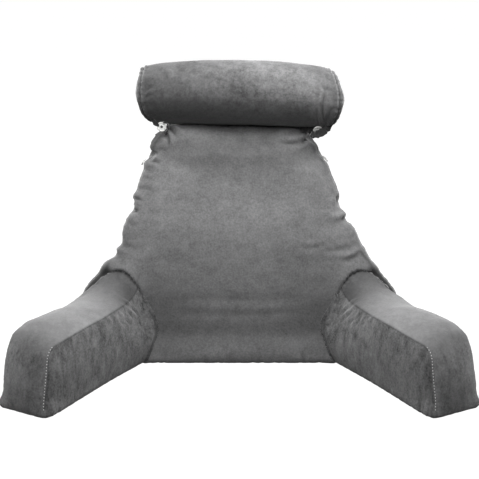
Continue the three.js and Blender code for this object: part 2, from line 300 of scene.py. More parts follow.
def arm_points(across, at, up):
    """Points of the right arm: across from -1 inside to 1 outside, at from 0 at the back to 1, up from 0 to 1."""
    def section(column):
        return read(SECTIONS, "at", column, at)

    forward = np.array([math.sin(ARM_SPLAY), -math.cos(ARM_SPLAY)])
    outer_length = ARM_LENGTH - ARM_WIDTH * math.tan(ARM_SPLAY)
    inner = np.array([ARM_ROOT_X, FRONT_Y]) + np.outer(at * ARM_LENGTH, forward)
    outer_root = np.array([ARM_ROOT_X + ARM_WIDTH / math.cos(ARM_SPLAY), FRONT_Y])
    outer = outer_root + np.outer(at * outer_length, forward)
    over = outer - inner
    over /= np.linalg.norm(over, axis=1, keepdims=True)
    root = ease(-at, -0.25, -0.05)
    belly = 4 * up * (1 - up)
    inner_belly = belly * (1 - 0.7 * root * ease(up, 0.4, 0.9))
    flare = TOE["reach"] * bell(up - TOE["up"], TOE["rise"]) * ease(at, 0.9, 1)
    spread = INNER_TOE["reach"] * bell(up - INNER_TOE["up"], INNER_TOE["rise"]) * ease(at, 0.25, 1.05)
    inner += over * (section("inTop") * up**2 - section("inBelly") * inner_belly - spread)[:, None]
    outer += over * (section("outTop") * up**2 + section("outBelly") * belly + flare)[:, None]
    share = (across + 1) / 2
    plan = inner + (outer - inner) * share[:, None]
    seam = section("inSeam") * (1 - share) + section("outSeam") * share
    z = up * (seam + section("crown") * (1 - across**2) * (1 - 0.5 * root * across))
    slide = ARM_END_BULGE * (1 - across**2) * belly * ease(at, 0.9, 1) - ARM_END_LEAN * z * ease(at, 0.62, 1)
    plan += forward * slide[:, None]
    plan[:, 1] += FRONT_LEAN * z * (1 - ease(at, 0, 0.45))
    return np.column_stack([plan, z])


def roll_axis(x):
    """The roll's axis in the Y-Z plane at a place along it."""
    return ROLL_Y - ROLL_YAW * x, read(RINGS, "x", "z", x)


def roll_points(x, radius, turn, end=0):
    """Points of the roll around its axis. turn is 0 at the top and grows towards the rear."""
    upward = np.cos(turn)
    middle = (RINGS["x"][0] + RINGS["x"][-1]) / 2
    reach = np.abs(x - middle) / (RINGS["x"][-1] - middle)
    top = np.where(x < middle, ROLL_DRAW["left"]["top"], ROLL_DRAW["right"]["top"])
    bottom = np.where(x < middle, ROLL_DRAW["left"]["bottom"], ROLL_DRAW["right"]["bottom"])
    drawn = (top * ((1 + upward) / 2) ** 4 + bottom * ((1 - upward) / 2) ** 4) * reach**6
    axis_y, axis_z = roll_axis(x)
    outward = np.sign(x - middle)
    return np.stack([x - outward * (drawn - end), axis_y + radius * np.sin(turn), axis_z + radius * upward], axis=1)


def simulate(piece, pins, slack, pressure, cap, looseness=0.1):
    """Fills a cushion's cover by cloth simulation, and keeps the result within a cap in millimetres."""
    scene = bpy.context.scene
    for name, weights in (("pins", pins), ("slack", slack)):
        group = piece.vertex_groups.new(name=name)
        for weight in np.unique(np.round(weights, 2)):
            if weight > 0:
                chosen = np.nonzero(np.round(weights, 2) == weight)[0]
                group.add(chosen.tolist(), float(weight), "REPLACE")
    cloth = piece.modifiers.new("fill", "CLOTH")
    settings = cloth.settings
    for key, value in CLOTH.items():
        setattr(settings, key, value)
    settings.uniform_pressure_force = pressure
    settings.effector_weights.gravity = 0
    settings.shrink_max = -looseness
    cloth.collision_settings.use_collision = False
    cloth.point_cache.frame_start = 1
    cloth.point_cache.frame_end = FILL_FRAMES
    for number in range(1, FILL_FRAMES + 1):
        scene.frame_set(number)
    shaped = piece.evaluated_get(bpy.context.evaluated_depsgraph_get()).data
    start = coordinates(piece.data)
    moved = coordinates(shaped) - start
    far = np.linalg.norm(moved, axis=1, keepdims=True)
    moved *= np.minimum(1, cap / np.maximum(far, 1e-6))
    piece.modifiers.remove(cloth)
    piece.vertex_groups.clear()
    scene.frame_set(1)
    move_to(piece.data, start + moved)


def subdivide(piece):
    """One level of smooth subdivision, applied."""
    modifier = piece.modifiers.new("smooth", "SUBSURF")
    modifier.levels = modifier.render_levels = 1
    fine = bpy.data.meshes.new_from_object(piece.evaluated_get(bpy.context.evaluated_depsgraph_get()))
    piece.modifiers.clear()
    old = piece.data
    piece.data = fine
    fine.name = piece.name
    bpy.data.meshes.remove(old)
    for polygon in fine.polygons:
        polygon.use_smooth = True


def arc_lengths(path):
    """How far each point of a path is along it, in millimetres."""
    steps = np.linalg.norm(np.diff(path, axis=0), axis=1)
    return np.concatenate([[0], np.cumsum(steps)])


def resampled(path, step):
    """A path's points at an even step."""
    along = arc_lengths(path)
    places = np.linspace(0, along[-1], max(2, round(along[-1] / step)))
    return np.stack([np.interp(places, along, path[:, k]) for k in range(3)], axis=1)


def nearest_on(path, points, reach):
    """For each point near a path, its distance and how far along the path it is. Far points get a large distance."""
    fine = resampled(path, 2)
    along = arc_lengths(fine)
    tree = KDTree(len(fine))
    for i, point in enumerate(fine):
        tree.insert(point, i)
    tree.balance()
    low = fine.min(axis=0) - reach
    high = fine.max(axis=0) + reach
    near = np.nonzero(((points > low) & (points < high)).all(axis=1))[0]
    distance = np.full(len(points), 1e6)
    place = np.zeros(len(points))
    for i in near:
        _, found, far = tree.find(points[i])
        distance[i] = far
        place[i] = along[found]
    return distance, place


def sew(piece, path, groove=1.6, width=1.5, ridge=0.5, dark=0.35, puckers=None, seed=1, light=0):
    """Sinks a seam along a path into a cushion, with the puckers that its stitches draw in the cloth beside it, painted
    shade in its groove and, where light is given, a painted highlight beside it.
    """
    mesh = piece.data
    points = coordinates(mesh)
    distance, place = nearest_on(path, points, 60 if puckers else 12)
    depth = -groove * bell(distance, width) + ridge * bell(distance - 3.2 * width, 1.6 * width)
    if puckers:
        random = np.random.default_rng(seed)
        total = arc_lengths(path)[-1]
        spots = np.arange(puckers["pitch"] / 2, total, puckers["pitch"])
        spots = spots + random.uniform(-0.35, 0.35, len(spots)) * puckers["pitch"]
        for spot in spots:
            strength = puckers["depth"] * random.uniform(0.35, 1.25)
            wide = puckers["width"] * random.uniform(0.7, 1.3)
            long = puckers["length"] * random.uniform(0.5, 1.4)
            drift = random.uniform(-0.35, 0.35)
            fan = wide * (1 + distance / (1.4 * long))
            fade = np.exp(-distance / long) * ease(-distance, -4 * long, -0.5 * long)
            depth -= strength * bell(place - spot - drift * distance, fan) * fade
    move_to(mesh, points + normals(mesh) * depth[:, None])
    # Painted shade in the groove; light adds a painted highlight a little way out from it.
    shade = 1 - dark * bell(distance, 1.2 * width) + light * bell(distance - 2.4 * width, 0.9 * width)
    set_cloth_attribute(mesh, pile_and_painted_shade_of(mesh) * shade)


def soften(piece, path, reach, rounds=14):
    """Rounds a cushion's corners near a path."""
    mesh = piece.data
    points = coordinates(mesh)
    distance, _ = nearest_on(path, points, 3 * reach)
    weight = bell(distance, reach)[:, None]
    edges = np.zeros(len(mesh.edges) * 2, int)
    mesh.edges.foreach_get("vertices", edges)
    edges = edges.reshape(-1, 2)
    for _ in range(rounds):
        total = np.zeros_like(points)
        count = np.zeros(len(points))
        for a, b in ((0, 1), (1, 0)):
            np.add.at(total, edges[:, a], points[edges[:, b]])
            np.add.at(count, edges[:, a], 1)
        points += 0.5 * weight * (total / count[:, None] - points)
    move_to(mesh, points)


def lumps(piece, amount, size, seed, squeeze=(1, 1, 1)):
    """Uneven filling: smooth noise along the normals, in millimetres."""
    mesh = piece.data
    points = coordinates(mesh)
    shift = Vector((seed * 17.3, seed * 5.1, seed * 9.7))
    places = points / size * np.array(squeeze)
    height = np.array([noise.noise(Vector(p) + shift) for p in places])
    keep = ease(points[:, 2], 0.5, 14)
    move_to(mesh, points + normals(mesh) * (amount * height * keep)[:, None])


def fold(piece, lines, along=(1, 0, 0), facing=(0, -1, 0), start=(0, 0, 0)):
    """Single folds, each a valley or ridge on a soft line, drawn on the side of a cushion that faces a direction, with
    painted shade in the valleys and painted light on the ridges.

    A line's places are measured along the given direction from the start, and upwards.
    """
    mesh = piece.data
    points = coordinates(mesh)
    outward = normals(mesh)
    place = np.stack([(points - np.array(start)) @ np.array(along), points[:, 2]], axis=1)
    shown = ease(outward @ np.array(facing), 0.15, 0.55)
    height = np.zeros(len(points))
    for u0, z0, u1, z1, wide, tall in zip(*lines.values()):
        line = np.array([u1 - u0, z1 - z0], float)
        length = np.linalg.norm(line)
        line /= length
        offset = place - np.array([u0, z0])
        share = offset @ line / length
        off = offset @ np.array([-line[1], line[0]])
        bow = off - 0.08 * length * np.sin(np.pi * np.clip(share, 0, 1))
        taper = ease(share, -0.12, 0.15) * ease(-share, -1.2, -0.45)
        height += tall * (bell(bow, wide) - 0.35 * bell(np.abs(bow) - 2.1 * wide, 1.3 * wide)) * taper
    move_to(mesh, points + outward * (height * shown)[:, None])
    # Painted shade in the valleys, painted light on the ridges.
    set_cloth_attribute(mesh, pile_and_painted_shade_of(mesh) * (1 + 0.13 * shown * np.clip(height, -6, 4)))


def held_by(outline, points):
    """Which points lie inside a closed outline in a plane."""
    inside = np.zeros(len(points), bool)
    for (x0, z0), (x1, z1) in zip(outline, np.roll(outline, -1, axis=0)):
        crosses = (z0 > points[:, 1]) != (z1 > points[:, 1])
        rise = z1 - z0 if z1 != z0 else 1e-9
        inside ^= crosses & (points[:, 0] < x0 + (points[:, 1] - z0) * (x1 - x0) / rise)
    return inside


def arm_meets_back(across, up):
    """The points where lines along the right arm meet the back's front."""
    starts = arm_starts(across, up, 0)
    return arm_points(across, starts, up)


def lip(back, side):
    """The fold of the back's panel that stands out over the end of an arm's top, with painted shade under it and along
    the creases outside and above the arm's top.
    """
    across = np.linspace(1, -1, 14)
    top = arm_meets_back(across, np.ones(14))
    inner = arm_meets_back(np.full(14, -1.0), np.linspace(1, 0, 14))
    path = np.concatenate([top, inner[1:]]) * [side, 0, 1]
    beyond = np.array([[350 * side, 0, 0], [350 * side, 0, top[0, 2] - 25]])
    outline = np.concatenate([path, beyond])[:, [0, 2]]
    mesh = back.data
    points = coordinates(mesh)
    outward = normals(mesh)
    flat = points * [1, 0, 1]
    distance, place = nearest_on(path, flat, 50)
    share = place / arc_lengths(path)[-1]
    free = ~held_by(outline, flat[:, [0, 2]]) & (outward[:, 1] < 0)
    tall = LIP["inner"] + (LIP["top"] - LIP["inner"]) * ease(-share, -0.42, -0.26) * ease(share, -0.02, 0.08)
    rise = tall * bell(distance, LIP["width"]) * free
    move_to(mesh, points + outward * rise[:, None] - np.array([0, 0, 1]) * (0.35 * rise)[:, None])
    # Painted shade under the fold, fainter along part of its length.
    dark = 0.5 - 0.38 * ease(share, 0.4, 0.5) + 0.38 * ease(share, 0.62, 0.8)
    set_cloth_attribute(mesh, pile_and_painted_shade_of(mesh) * (1 - dark * bell(distance, 3) * free))
    # Painted shade along the creases outside and above the arm's top.
    for line, depth, reach in zip(*PAINTED_CREASE_SHADE.values()):
        near, _ = nearest_on(np.array(line, float) * [side, 0, 1], flat, 30)
        set_cloth_attribute(mesh, pile_and_painted_shade_of(mesh) * (1 - depth * bell(near, reach) * (outward[:, 1] < 0.6)))


def clear_of(piece, other, gap=GAP):
    """Moves the points of a piece that lie inside another one out to its surface. Gives their distances from it."""
    tree = BVHTree.FromPolygons(
        [v.co[:] for v in other.data.vertices], [p.vertices[:] for p in other.data.polygons]
    )
    mesh = piece.data
    points = coordinates(mesh)
    distances = np.full(len(points), 1e6)
    low, high = coordinates(other.data).min(axis=0), coordinates(other.data).max(axis=0)
    near = np.nonzero(((points > low - 5) & (points < high + 5)).all(axis=1))[0]
    for i in near:
        point = Vector(points[i] * MM)
        spot, normal, _, _ = tree.find_nearest(point)
        away = (point - spot).dot(normal) / MM
        if away < gap:
            points[i] = np.array(spot + normal * gap * MM) / MM
        distances[i] = max(away, gap)
    move_to(mesh, points)
    return distances


def flat_base(piece):
    """Keeps a cushion's points on or above the floor."""
    points = coordinates(piece.data)
    points[:, 2] = np.maximum(points[:, 2], 0)
    move_to(piece.data, points)


def saddle(points):
    """Pushes the back's points out of the roll that lies on it."""
    axis_y, axis_z = roll_axis(points[:, 0])
    away = np.stack([points[:, 1] - axis_y, points[:, 2] - axis_z], axis=1)
    far = np.linalg.norm(away, axis=1)
    limit = read(RINGS, "x", "radius", points[:, 0]) + GAP
    inside = (far < limit) & (np.abs(points[:, 0]) < 190)
    push = np.where(inside, limit / np.maximum(far, 1), 1)
    out = points.copy()
    out[:, 1] = axis_y + away[:, 0] * push
    out[:, 2] = axis_z + away[:, 1] * push
    return out


def loop_of(cells, **fixed):
    """The points of a box of cells along a line on it, in order.

    fixed gives two lattice numbers by axis, and a negative one counts from the far side.
    """
    axes = {"a": 0, "b": 1, "c": 2}
    size = cells.max(axis=0)
    chosen = np.ones(len(cells), bool)
    for name, value in fixed.items():
        column = axes[name]
        chosen &= cells[:, column] == (size[column] + 1 + value if value < 0 else value)
    free = [k for name, k in axes.items() if name not in fixed][0]
    found = np.nonzero(chosen)[0]
    return found[np.argsort(cells[found, free])]


# The front panel's folds, seen from the front: from where to where, their width, and their height or depth
BACK_FOLDS = {
    "x0": [
        -160, -176, -196, -196, -209, -210, -212, -232, -146, -143, -142,
        152, 146, 143, 124, 158, 190, 206, 198, 225, 165, 233, 231, 211, 150, 126, 40, -18, -66,
    ],
    "z0": [
        406, 385, 351, 331, 313, 288, 264, 221, 451, 455, 437,
        436, 438, 439, 430, 387, 318, 284, 285, 249, 231, 210, 219, 225, 227, 2, 2, 2, 2,
    ],
    "x1": [
        -144, -154, -162, -164, -188, -196, -196, -196, -120, -110, -139,
        122, 108, 90, 78, 167, 193, 200, 170, 216, 138, 196, 200, 158, 116, 127, 41, -17, -67,
    ],
    "z1": [
        407, 383, 349, 332, 312, 290, 263, 219, 430, 441, 412,
        425, 407, 427, 423, 354, 297, 272, 288, 238, 230, 198, 208, 222, 229, 30, 22, 24, 20,
    ],
    "width": [
        3, 3, 3, 3, 3.4, 3, 4, 4, 2.8, 3.2, 3,
        4.6, 3.6, 3.8, 4, 2.6, 4.4, 3.4, 6, 2.8, 4, 4, 5, 4, 5, 3, 3, 4, 4,
    ],
    "height": [
        -1.2, -4.6, -1.5, -1.5, -4.2, -5, -1.5, -1.5, -4.6, 3.6, -2.6,
        -8, 3.4, 4.6, -4.2, -1.2, -4.4, -4.4, 2, -1.6, -1.4, -2.6, 2.2, -1.6, -1.6, -1.8, -1.2, -0.9, -0.9,
    ],
}
# The painted shade and light on the panel's top corners: the heights between which the left seam gets painted shade,
# the painted shade line where the right tab pulls, the middle of the painted light under the left stud, and the height
# of the painted shade on the left corner's side
CORNER = {
    "low": 398, "high": 438, "pulled_crease_shade": np.array([(146, 0, 434), (138, 0, 431), (124, 0, 422)]),
    "painted_light_patch": (-149, 432), "rim": 418,
}
# Where the back's panel keeps its plane while it is filled, because the arms meet it there
ARM_HOLD = {"across": (115, 150), "down": (-215, -175), "deep": 0.05}
BUMP_REACH = 16  # how far around a side seam its gathers push the cloth
# How far the gathers push the back's side seams out, by height
SIDE_BUMPS = {
    "z": [
        162, 179, 190, 196, 208, 214, 219, 225, 237, 248, 254, 260, 265, 271, 277, 283, 294, 300, 306, 311, 323, 334,
        363, 369, 375, 381, 386, 392, 398, 404, 415, 427, 436,
    ],
    "left": [
        0, 1.4, 3, -1.4, 0.8, 3.3, 1.6, 0, 1.2, 1.8, 2.4, 3, 2.6, 4.1, 2.4, 2.4, 0.4, 1.6, -1.4, 1, 2.4, 0.8,
        1.2, 0.4, 1.4, 2, 1.2, -2, -3.5, 2, 2.5, 2.1, 0,
    ],
    "right": [
        0, 2.2, -0.2, 0.2, 1.6, 2.2, 1.4, 0.4, 0.8, 2.5, 3.7, 4.7, 2.9, -0.8, 1.2, 3.1, 1.2, -0.2, 0.4, 1.4, 2.4, 2,
        1, 2.4, 3.3, 3.1, 2, -1.2, -1.8, 0.2, 0.4, -1, 0,
    ],
}
# The folds of an arm's inner panel beside the back, along the arm and up
ROOT_FOLDS = {
    "u0": [114, 101, 92, 78, 70, 58, 47, 41, 33, 26, 284, 270],
    "z0": [131, 122, 127, 118, 128, 116, 131, 122, 137, 128, 2, 2],
    "u1": [86, 80, 66, 60, 46, 40, 22, 22, 8, 8, 281, 266],
    "z1": [112, 104, 108, 96, 104, 92, 108, 96, 112, 100, 34, 22],
    "width": [2.4, 2.2, 2.6, 2.2, 2.4, 2.4, 2.2, 2.6, 2.2, 2.4, 3, 3],
    "height": [1.6, -1.4, 1.3, -1.8, 2.2, -2, 2.6, -2.2, 2.6, -2, 2.2, -2],
}
# The folds on the roll's front beside its end seams, across and up
ROLL_FOLDS = {
    "x0": [178, 176, 162, 151, 166, 156, -179, -179, -150, -120],
    "z0": [543, 526, 460, 458, 458, 500, 521, 511, 560, 564],
    "x1": [160, 150, 161, 149, 173, 155, -156, -160, -128, -96],
    "z1": [552, 535, 528, 502, 492, 530, 536, 517, 536, 548],
    "width": [2.6, 3, 3.2, 3, 2.6, 3.5, 3, 3, 5, 5],
    "height": [-1.6, -1.8, -4.5, -3, -3, 2, -1.8, -1.6, -1.2, -1],
}
# What the stitches of each kind of seam pucker: how far apart, how deep, how wide and how long, in millimetres
PUCKERS = {
    "side": {"pitch": 13, "depth": 1.5, "width": 3, "length": 13},
    "base": {"pitch": 23, "depth": 1.0, "width": 3.6, "length": 11},
    "rear": {"pitch": 26, "depth": 1.4, "width": 4, "length": 14},
    "arm": {"pitch": 22, "depth": 0.6, "width": 3, "length": 9},
    "arm_root": {"pitch": 8, "depth": 2.8, "width": 2.4, "length": 14},
    "roll": {"pitch": 13, "depth": 2.2, "width": 3, "length": 13},
}
# How light the pile looks where it's brushed one way or the other, with painted light and shade in it: a painted shadow
# on the back's top under the roll and painted shade low on the back, the roll painted darker below and lighter on top,
# and the arms' tops painted lighter than their sides and darker towards both ends
PILE_AND_PAINTED_SHADE = {
    "back": {
        "z": [0, 12, 25, 48, 71, 94, 118, 163, 187, 233, 279, 302, 325, 348, 371, 394, 417, 445],
        "pile_and_painted_shade": [0.6, 1.15, 1.45, 1.14, 0.72, 0.85, 0.96, 1.12, 1.2, 1.31, 1.43, 1.48, 1.28, 1.13, 0.97, 0.8, 0.82, 1.4],
        "sides": [1, 1, 0.72, 0.7, 0.7, 0.68, 0.74, 0.9, 0.97, 0.97, 0.97, 1.05, 1.08, 1.2, 1.28, 1.26, 1.3, 1.2],
    },
    "roll": {
        "degrees": [-180, -90, -60, -30, -15, 0, 15, 30, 45, 60, 90, 180],
        "pile_and_painted_shade": [1, 0.55, 0.45, 0.37, 0.4, 0.65, 0.76, 0.82, 1.04, 1.17, 1.3, 1],
    },
    "roll_along": {"x": [-190, -127, -60, 0, 60, 119, 165, 191], "pile_and_painted_shade": [0.66, 0.64, 0.85, 1, 1.2, 1.45, 1.2, 0.9]},
    "arm_top": {
        "along": [-20, 0, 24, 45, 75, 110, 165, 215, 265, 300],
        "pile_and_painted_shade": [0.6, 0.75, 1, 1.25, 1.6, 1.88, 2.0, 1.7, 1.1, 0.62],
    },
    "arm_inner": {"along": [10, 60, 110, 160, 200, 250, 290], "pile_and_painted_shade": [0.85, 1.05, 1.05, 0.95, 0.85, 0.8, 0.55]},
    "arm_end": {"across": [0, 25, 60, 93], "pile_and_painted_shade": [0.9, 0.8, 1.05, 1.6]},
}
# How far the back's panel stands out over an arm's top, and beside its inner panel
LIP = {"top": 6.5, "inner": 1.2, "width": 12}
# Painted shade lines in the creases outside an arm's top and above it, where it leaves the back: their paths, how much
# they darken, and how wide
PAINTED_CREASE_SHADE = {
    "line": [
        [(258, 0, 174), (266, 0, 172), (276, 0, 166), (290, 0, 148), (304, 0, 130), (314, 0, 114)],
        [(259, 0, 176), (268, 0, 173), (278, 0, 168)],
        [(262, 0, 178), (253, 0, 194), (244, 0, 204), (236, 0, 214)],
    ],
    "depth": [0.92, 0.9, 0.5],
    "reach": [8, 7, 2.4],
}
# The share of an arm's length over which its hold at the root lets go while it is filled
ROOT_HOLD = (0.03, 0.16)
# The middle of the painted shade at the inner tip of an arm's top, across and up
TIP_SHADE = (203, 141)


def back_cushion():
    """The back cushion, which stands on its base and carries the roll."""
    steps = [spaced(size, cell) for size, cell in zip((600, BACK_THICKNESS, BACK_HEIGHT), CELLS["back"])]
    cells, quads = box_cells(steps)
    across, deep, up = (steps[k][cells[:, k]] for k in range(3))
    deep = (deep + 1) / 2
    up = (up + 1) / 2
    points = saddle(back_points(across, deep, up))
    piece = mesh_object("back_cushion_cover", points, quads)
    seams = {
        "left": loop_of(cells, a=0, b=0),
        "right": loop_of(cells, a=-1, b=0),
        "rear_left": loop_of(cells, a=0, b=-1),
        "rear_right": loop_of(cells, a=-1, b=-1),
        "top_rear": loop_of(cells, b=-1, c=-1),
        "base_front": loop_of(cells, b=0, c=0),
        "base_left": loop_of(cells, a=0, c=0),
        "base_right": loop_of(cells, a=-1, c=0),
        "base_rear": loop_of(cells, b=-1, c=0),
    }
    pins = np.zeros(len(cells))
    for loop in seams.values():
        pins[loop] = SEAM_PIN
    pins[points[:, 2] < 1] = 1
    held = ease(np.abs(points[:, 0]), *ARM_HOLD["across"]) * ease(-points[:, 2], *ARM_HOLD["down"])
    pins = np.maximum(pins, held * (deep < ARM_HOLD["deep"]))
    slack = ease(np.abs(across), 0.6, 0.95) * ease(up, 0.25, 0.4)
    simulate(piece, pins, slack, pressure=3.5, cap=9)
    move_to(piece.data, saddle(coordinates(piece.data)))
    subdivide(piece)
    paths = {name: coordinates(piece.data)[loop] for name, loop in seams.items()}
    lumps(piece, 2.0, 95, 3)
    lumps(piece, 0.9, 30, 4, squeeze=(0.5, 1, 1))
    points = coordinates(piece.data)
    aside = ease(np.abs(points[:, 0]), 50, 150)
    # Painted shade and light by height on the back, changing towards the sides: the roll's painted shadow at the top
    # and painted shade low down.
    pile_and_painted_shade = read(PILE_AND_PAINTED_SHADE["back"], "z", "pile_and_painted_shade", points[:, 2])
    set_cloth_attribute(piece.data, pile_and_painted_shade * (1 + (read(PILE_AND_PAINTED_SHADE["back"], "z", "sides", points[:, 2]) - 1) * aside))
    fold(piece, BACK_FOLDS)
    for side, name in ((-1, "left"), (1, "right")):
        points = coordinates(piece.data)
        distance, _ = nearest_on(paths[name], points, 50)
        points[:, 0] += side * read(SIDE_BUMPS, "z", name, points[:, 2]) * bell(distance, BUMP_REACH)
        move_to(piece.data, points)
        paths[name][:, 0] += side * read(SIDE_BUMPS, "z", name, paths[name][:, 2])
        lip(piece, side)
    for seed, name in ((11, "left"), (12, "right")):
        sew(piece, paths[name], 1.8, 1.8, 0.5, 0.4, PUCKERS["side"], seed)
    sew(piece, paths["base_front"], 0.5, 2, 0.2, 0.75, PUCKERS["base"], 13)
    for seed, name in ((14, "rear_left"), (15, "rear_right"), (16, "top_rear")):
        sew(piece, paths[name], 1.6, 2, 0.5, 0.4, PUCKERS["rear"], seed)
    shade_corners(piece, paths["left"])
    flat_base(piece)
    move_to(piece.data, saddle(coordinates(piece.data)))
    return piece


def shade_corners(piece, left_seam):
    """Paints shade and light on the panel's top corners, where the tabs pull at it: painted shade along the left seam,
    along the right tab's crease and on the left corner's side, and painted light under the left stud.
    """
    points = coordinates(piece.data)
    outward = normals(piece.data)
    in_front = ease(-outward[:, 1], 0, 0.3)
    corner = (left_seam[:, 2] > CORNER["low"]) & (left_seam[:, 2] < CORNER["high"])
    edge, _ = nearest_on(left_seam[corner], points, 20)
    pulled_crease_shade, _ = nearest_on(CORNER["pulled_crease_shade"], points * [1, 0, 1], 20)
    pile_and_painted_shade = pile_and_painted_shade_of(piece.data) * (1 - 0.8 * bell(edge, 4.5)) * (1 - 0.85 * bell(pulled_crease_shade, 4) * in_front)
    painted_light_patch = np.hypot(points[:, 0] - CORNER["painted_light_patch"][0], points[:, 2] - CORNER["painted_light_patch"][1])
    rim = ease(-outward[:, 0], 0.5, 0.7) * bell(points[:, 2] - CORNER["rim"], 18) * (points[:, 0] < 0)
    set_cloth_attribute(piece.data, pile_and_painted_shade * (1 + 0.8 * bell(painted_light_patch, 10) * in_front) * (1 - 0.7 * rim))


def arm_cushion(side, back):
    """One arm. side is -1 on the left and 1 on the right. Its root is fitted to the back's front."""
    steps = [spaced(size, cell) for size, cell in zip((ARM_WIDTH, ARM_LENGTH, 145), CELLS["arm"])]
    cells, quads = box_cells(steps)
    across, along, up = (steps[k][cells[:, k]] for k in range(3))
    across = across * side
    along = (1 - along) / 2
    up = (up + 1) / 2
    end = (1 - along) * ARM_LENGTH
    below = (1 - up) * ARM_HEIGHT
    corner = (end < ARM_BEND) & (below < ARM_BEND)
    round_off = np.maximum(ARM_BEND - end, ARM_BEND - below) / np.hypot(ARM_BEND - end, ARM_BEND - below)
    end, below = (np.where(corner, ARM_BEND - (ARM_BEND - v) * round_off, v) for v in (end, below))
    along = 1 - end / ARM_LENGTH
    up = 1 - below / ARM_HEIGHT
    start = arm_starts(across, up)
    at = start + (1 - start) * along
    points = arm_points(across, at, up)
    points[:, 0] *= side
    piece = mesh_object("arm_left_cover" if side < 0 else "arm_right_cover", points, quads)
    inner, outer = (-1, 0) if side < 0 else (0, -1)
    seams = {
        "inner_top": loop_of(cells, a=inner, c=-1),
        "inner_end": loop_of(cells, a=inner, b=0),
        "inner_base": loop_of(cells, a=inner, c=0),
        "outer_top": loop_of(cells, a=outer, c=-1),
        "outer_end": loop_of(cells, a=outer, b=0),
        "outer_base": loop_of(cells, a=outer, c=0),
        "end_base": loop_of(cells, b=0, c=0),
    }
    pins = np.zeros(len(cells))
    for loop in seams.values():
        pins[loop] = SEAM_PIN
    pins[points[:, 2] < 1] = 1
    pins = np.maximum(pins, 1 - ease(at - start, *ROOT_HOLD))
    slack = ease(-at, -0.35, -0.05) * 0.7
    simulate(piece, pins, slack, pressure=4, cap=6, looseness=0.06)
    subdivide(piece)
    paths = {name: coordinates(piece.data)[loop] for name, loop in seams.items()}
    soften(piece, paths["end_base"], 9)
    corner = paths["inner_end"][:1]
    soften(piece, np.concatenate([corner, corner + [0, 0, 10]]), 13, rounds=60)
    seed = 31 if side < 0 else 41
    lumps(piece, 1.4, 60, seed)
    lumps(piece, 0.6, 22, seed + 1)
    forward = (side * math.sin(ARM_SPLAY), -math.cos(ARM_SPLAY), 0)
    inward = (-side * math.cos(ARM_SPLAY), -math.sin(ARM_SPLAY), 0)
    set_cloth_attribute(piece.data, arm_pile_and_painted_shade(piece, forward, inward, side))
    fold(piece, ROOT_FOLDS, forward, inward, (side * ARM_ROOT_X, FRONT_Y, 0))
    for k, (name, path) in enumerate(paths.items()):
        wide = 3.2 if name.endswith("base") else 2.8 if name == "outer_end" else 1.4
        sew(piece, path, 1.1, wide, 0.3, SEAM_SHADE[name], PUCKERS["arm"], seed + 2 + k)
    reach = arc_lengths(paths["outer_top"])
    near_root = paths["outer_top"][reach > reach[-1] - 60]
    sew(piece, near_root, 0, 1.4, 0, 0, PUCKERS["arm_root"], seed + 12)
    flat_base(piece)
    # Painted shadow where the arm meets the back, on its lower part and its top, and painted shade on the outer side
    # next to the end's outer seam.
    contact_shadow = bell(clear_of(piece, back), 2.6)
    low = np.maximum(ease(-coordinates(piece.data)[:, 2], -108, -85), ease(normals(piece.data)[:, 2], 0.4, 0.8))
    distance, _ = nearest_on(paths["outer_end"], coordinates(piece.data), 30)
    rim = ease(-normals(piece.data) @ np.array(inward), 0.45, 0.65) * bell(distance, 7)
    set_cloth_attribute(piece.data, pile_and_painted_shade_of(piece.data) * (1 - 0.6 * contact_shadow * low) * (1 - 0.65 * rim))
    beside = 1 if inner == 0 else -2
    line = np.concatenate([loop_of(cells, a=beside, b=0), loop_of(cells, a=beside, c=-1)[1:4]])
    stitched = coordinates(piece.data)[line]
    outward = np.array([0.1 * side, -0.96, 0.26])
    return piece, (stitched, outward)


# How much painted shade each of an arm's seams gets in its groove
SEAM_SHADE = {
    "inner_top": 0.75, "inner_end": 0.3, "inner_base": 0.85, "outer_top": 0.5, "outer_end": 0.8, "outer_base": 0.8,
    "end_base": 0.85,
}


def arm_pile_and_painted_shade(piece, forward, inward, side):
    """The arm's pile brightness with painted light and shade in it: its top painted lighter than its sides and darker
    towards both ends, with painted shade around its inner tip where it leaves the back; it also stores how mottled each
    side is.
    """
    points = coordinates(piece.data)
    outward = normals(piece.data)
    offset = points - np.array([side * ARM_ROOT_X, FRONT_Y, 0])
    along = offset @ np.array(forward)
    across = -offset @ np.array(inward)
    top = ease(outward[:, 2], 0.35, 0.8)
    inner = ease(outward @ np.array(inward), 0.3, 0.8) * (1 - top)
    # Painted shade around the inner tip of the top.
    from_tip = np.hypot(np.abs(points[:, 0]) - TIP_SHADE[0], points[:, 2] - TIP_SHADE[1])
    pile_and_painted_shade = top * read(PILE_AND_PAINTED_SHADE["arm_top"], "along", "pile_and_painted_shade", along) * (1 - 0.18 * bell(from_tip, 45))
    pile_and_painted_shade *= 1 - 0.5 * bell(from_tip, 20)
    set_cloth_attribute(piece.data, 0.3 * top + 1.3 * inner + 0.85 * (1 - top - inner), "mottle")
    pile_and_painted_shade += inner * read(PILE_AND_PAINTED_SHADE["arm_inner"], "along", "pile_and_painted_shade", along)
    return pile_and_painted_shade + np.maximum(1 - top - inner, 0) * read(PILE_AND_PAINTED_SHADE["arm_end"], "across", "pile_and_painted_shade", across)


def arm_starts(across, up, sink=8):
    """Where each line along the arm starts, so that it ends that far behind the back's front."""
    places = np.linspace(-ARM_ROOT_DEPTH, 0.3, 140)
    start = np.full(len(across), -ARM_ROOT_DEPTH)
    for place in places:
        points = arm_points(across, np.full(len(across), place), up)
        width = read(OUTLINE, "z", "right", points[:, 2])
        share = np.clip(points[:, 0] / width, 0, 1)
        deep = points[:, 1] - FRONT_Y - front_plane(share, points[:, 2])
        start = np.where(deep > sink, place, start)
    return start


